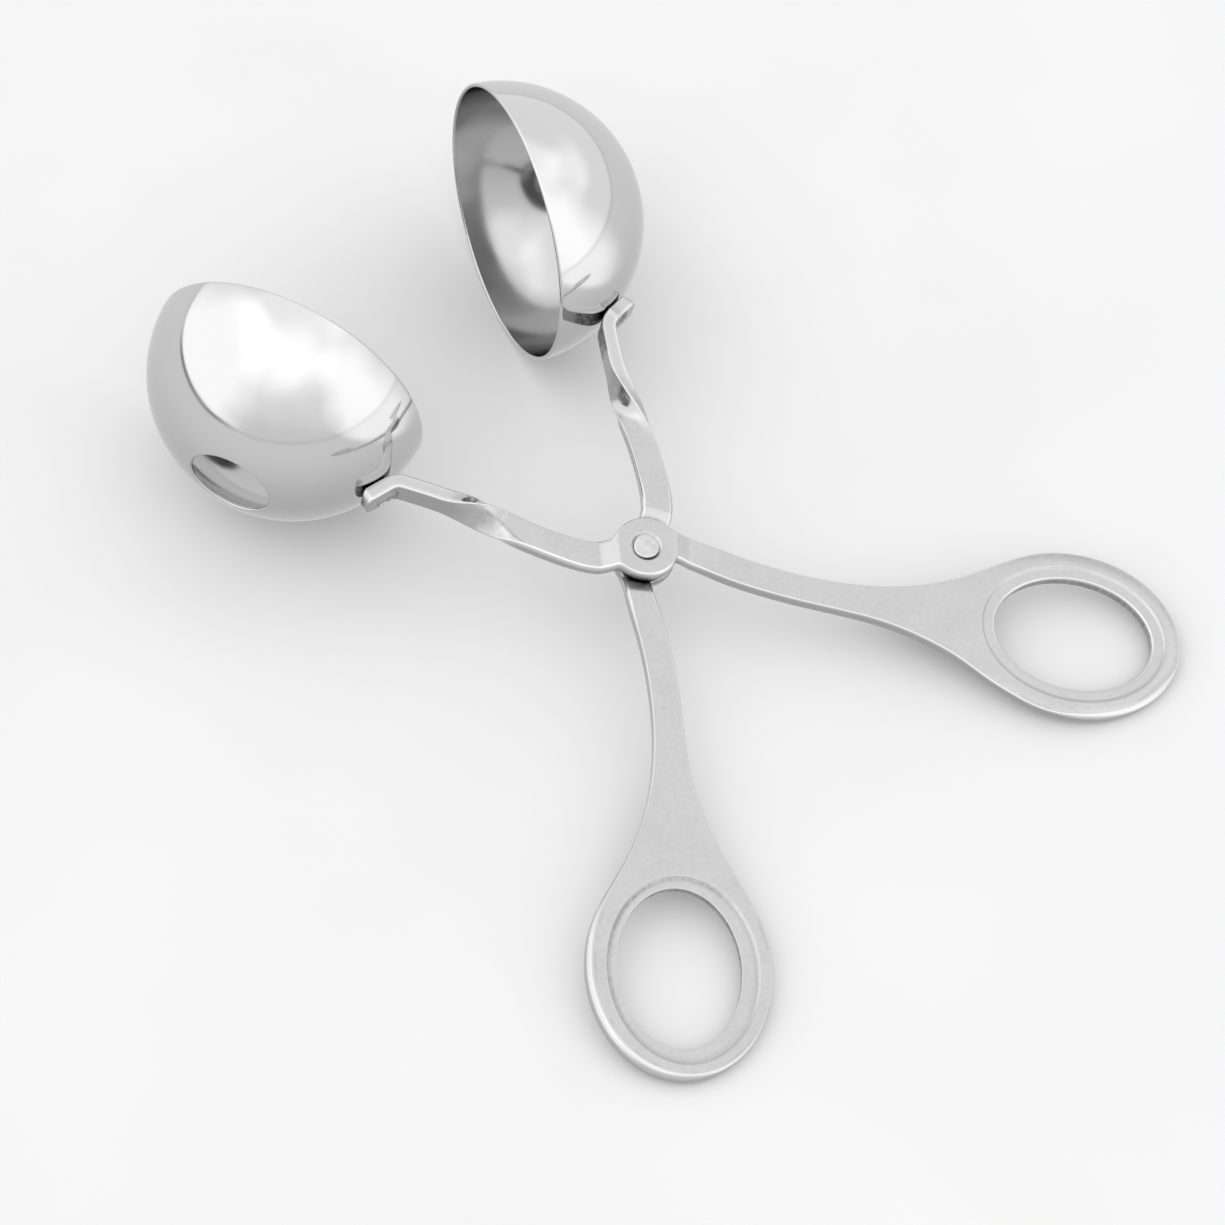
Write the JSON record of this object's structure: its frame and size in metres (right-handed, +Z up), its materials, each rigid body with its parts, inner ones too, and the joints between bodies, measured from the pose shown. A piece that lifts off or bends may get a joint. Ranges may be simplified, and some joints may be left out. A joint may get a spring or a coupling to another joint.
{
  "type": "meatball tongs",
  "caption": "Scissor tongs of formed steel strip with finger rings and a vented half bowl on each jaw, which close to a ball to shape and release meatballs.",
  "frame": {"origin": "on the table, under the middle of the tongs' box as they lie half open on both bowls and both finger rings", "axes": "+X towards the bowls, +Y towards the left bowl, +Z up from the table"},
  "size_m": [0.1602, 0.1298, 0.0499],
  "materials": {
    "arm_steel": "tumbled satin stainless steel with softened edges",
    "bowl_steel": "mirror-polished stainless sheet, softer inside",
    "rivet_steel": "peened bright steel"
  },
  "bodies": {
    "lower_half": {"lower_arm": "arm_steel", "right_bowl": "bowl_steel", "pivot_rivet": "rivet_steel"},
    "upper_half": {"upper_arm": "arm_steel", "left_bowl": "bowl_steel"}
  },
  "joints": [
    {"name": "scissor_pivot", "type": "hinge", "parent": "lower_half", "child": "upper_half", "pos_m": [-0.00482, 0, 0.01425], "axis": [-0.171, 0, 0.9853], "range_deg": [-43.5, 17]}
  ]
}
